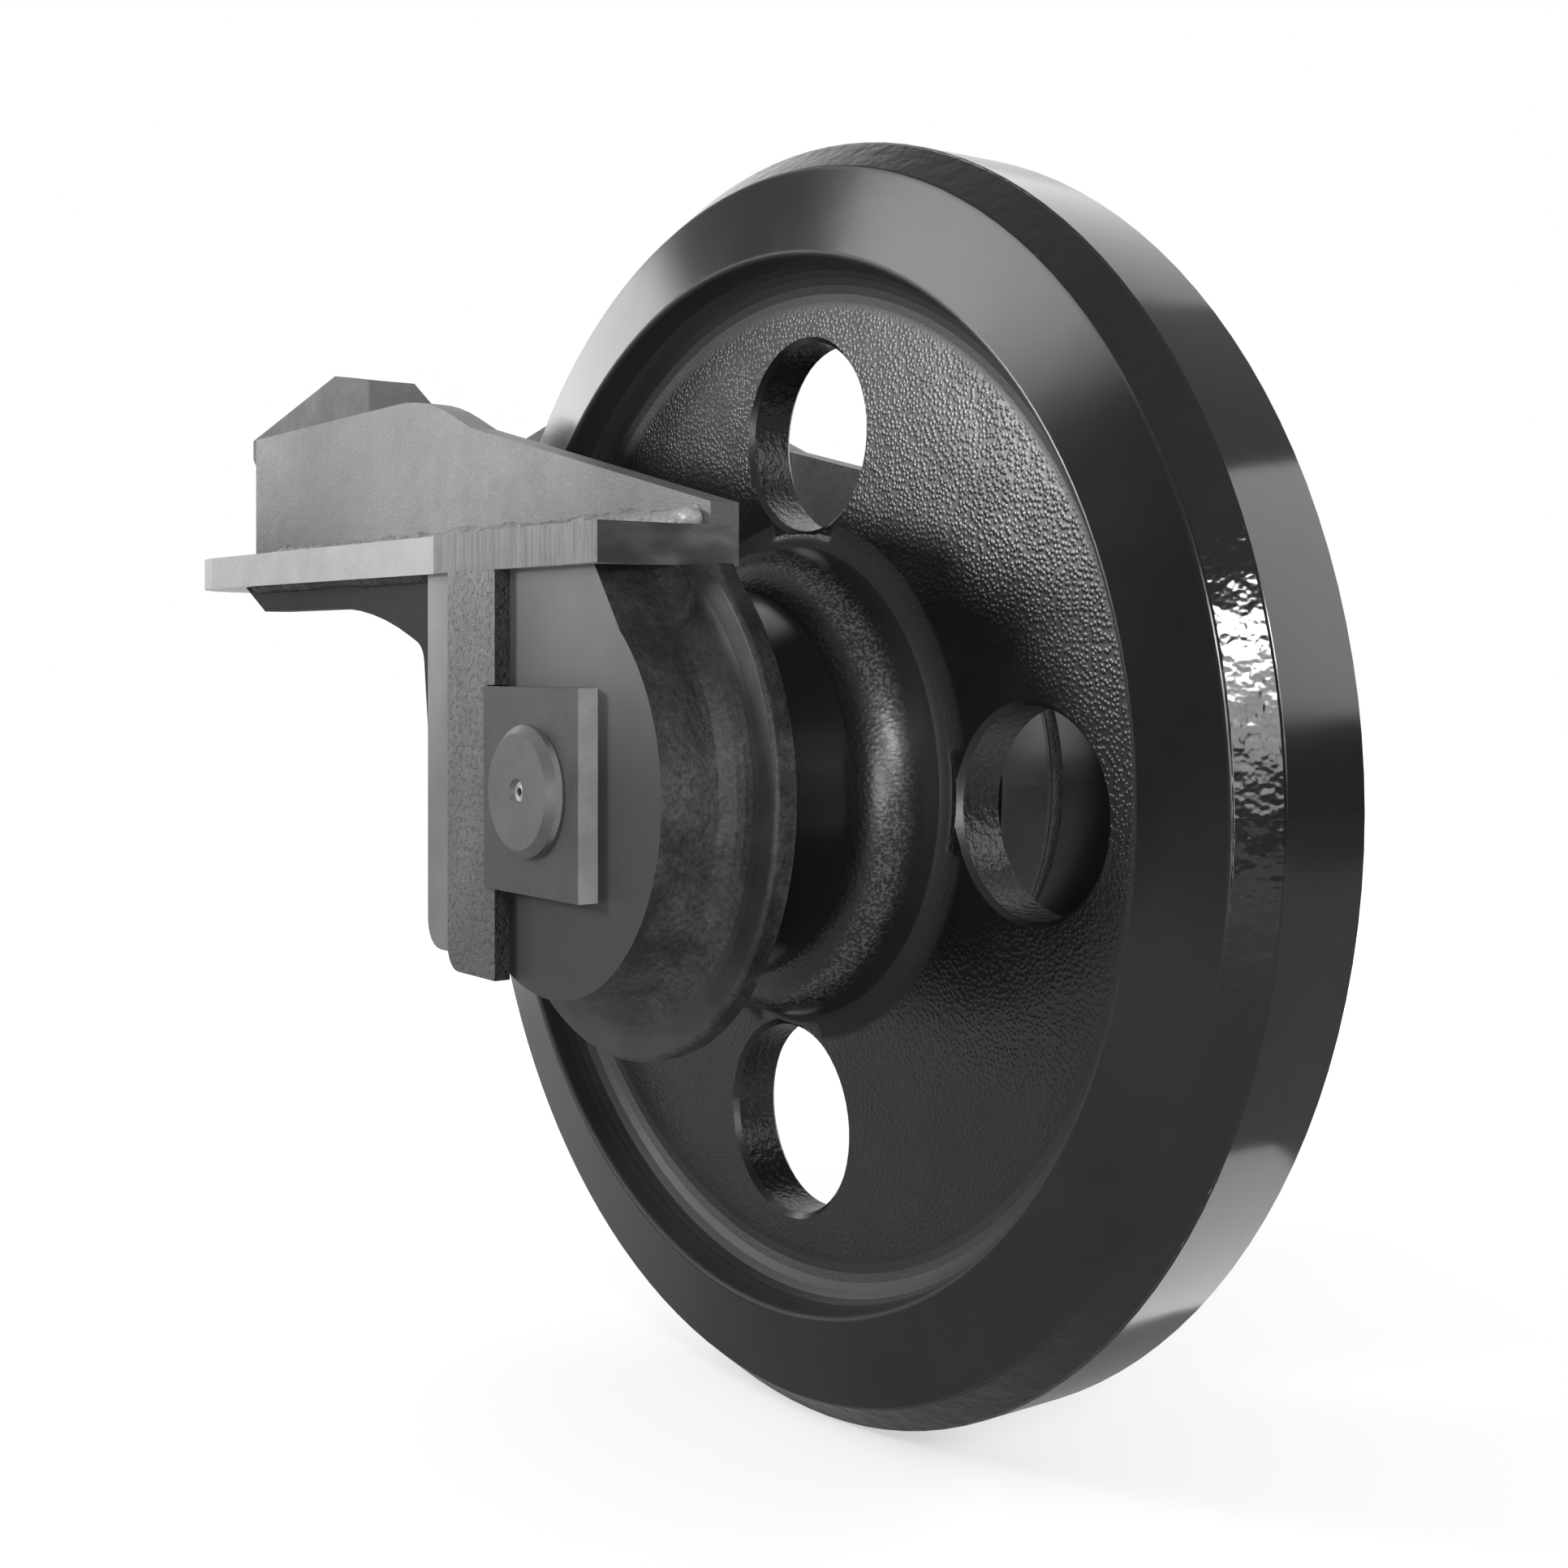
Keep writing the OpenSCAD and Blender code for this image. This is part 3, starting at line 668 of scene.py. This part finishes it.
def lights():
    # Point that mirrors the lamp, the lamp's azimuth, elevation and distance from there, size, brightness
    lamps = {
        "front_left": ((0.25, -0.07, 0.36), -129, 26, 2.6, (1.3, 0.6), 5.2),
        "web_left": ((0.22, -0.04, 0.22), -130, 10, 2.6, (0.45, 0.45), 40),
        "side_left": ((-0.33, -0.07, 0.20), -170, 15, 3.0, (1.6, 1.2), 3.4),
        "front": ((0.20, -0.05, 0.00), -51, 0, 2.6, (0.75, 0.8), 12),
        "window_right": ((0.48, -0.05, 0.10), -30, 20, 2.8, (0.65, 0.45), 42),
        "window_low": ((0.48, -0.05, 0.06), -30, 8, 2.8, (0.65, 0.70), 6),
        "back_right": ((0.46, 0.00, 0.15), 57, 21, 2.6, (1.2, 1.5), 2.4),
        "back_top": ((0.26, 0.00, 0.43), 119, 42, 3.0, (1.9, 1.4), 0.9),
        "back": ((0.00, 0.00, 0.00), 96, 8, 3.2, (1.8, 1.4), 5.0),
    }
    for name, (point, azimuth, elevation, distance, size, radiance) in lamps.items():
        lamp(name, aim(point, azimuth, elevation, distance), size, radiance)
    lamp("floor_right", (0.43, 0.20, -0.48), (0.24, 0.24), 1.8, (0, 0, 1))


def seen(g, behind):
    """1 for rays that show the white background: seen, through glass, or mirrored from behind the part."""
    path = g.tree.nodes.new("ShaderNodeLightPath")
    straight = g.math("MAXIMUM", path.outputs["Is Camera Ray"], path.outputs["Is Transmission Ray"])
    return g.math("MAXIMUM", straight, g.times(path.outputs["Is Glossy Ray"], behind))


def world():
    """White background, and a dim studio that lights the part."""
    made = bpy.data.worlds.new("studio")
    scene.world = made
    made.use_nodes = True
    g = Graph(made.node_tree)
    direction = g.node("ShaderNodeTexCoord", {}, out="Generated")
    studio = g.ramp(g.part(direction, "Z"), -0.1, 0.7, 0.16, 0.45)
    white = g.node("ShaderNodeBackground", {"Color": (1, 1, 1, 1), "Strength": 1.0})
    light = g.node("ShaderNodeBackground", {"Color": (1, 1, 1, 1), "Strength": studio})
    backdrop = g.ramp(g.along(direction, LOOK), 0.45, 0.85)
    g.end("ShaderNodeOutputWorld", g.node("ShaderNodeMixShader", {0: seen(g, backdrop), 1: light, 2: white}))


def floor():
    """Pale floor that keeps the shadow and fades to the white background."""
    mesh = bmesh.new()
    bmesh.ops.create_circle(mesh, cap_ends=True, radius=14, segments=96)
    data = bpy.data.meshes.new("floor")
    mesh.to_mesh(data)
    mesh.free()
    obj = bpy.data.objects.new("floor", data)
    obj.location.z = -TREAD_R - 0.0005
    scene.collection.objects.link(obj)
    material = bpy.data.materials.new("floor")
    material.use_nodes = True
    g = Graph(material.node_tree)
    at = g.place()
    fade = g.ramp(g.length(at), 0.7, 2.4, 0.55, 1.0)
    shown = seen(g, g.ramp(g.along(at, LOOK), 1.0, 2.0))
    glow = g.node("ShaderNodeEmission", {"Strength": g.times(fade, shown)})
    base = g.node("ShaderNodeBsdfDiffuse", {"Color": (0.5, 0.5, 0.5, 1)})
    g.end("ShaderNodeOutputMaterial", g.node("ShaderNodeAddShader", {0: base, 1: glow}))
    data.materials.append(material)


camera()
cast_black = wheel_paint()
dress_nodes(cast_black)
collar_skins(cast_black)
welds()
lights()
world()
floor()
scene.view_settings.view_transform = "Standard"
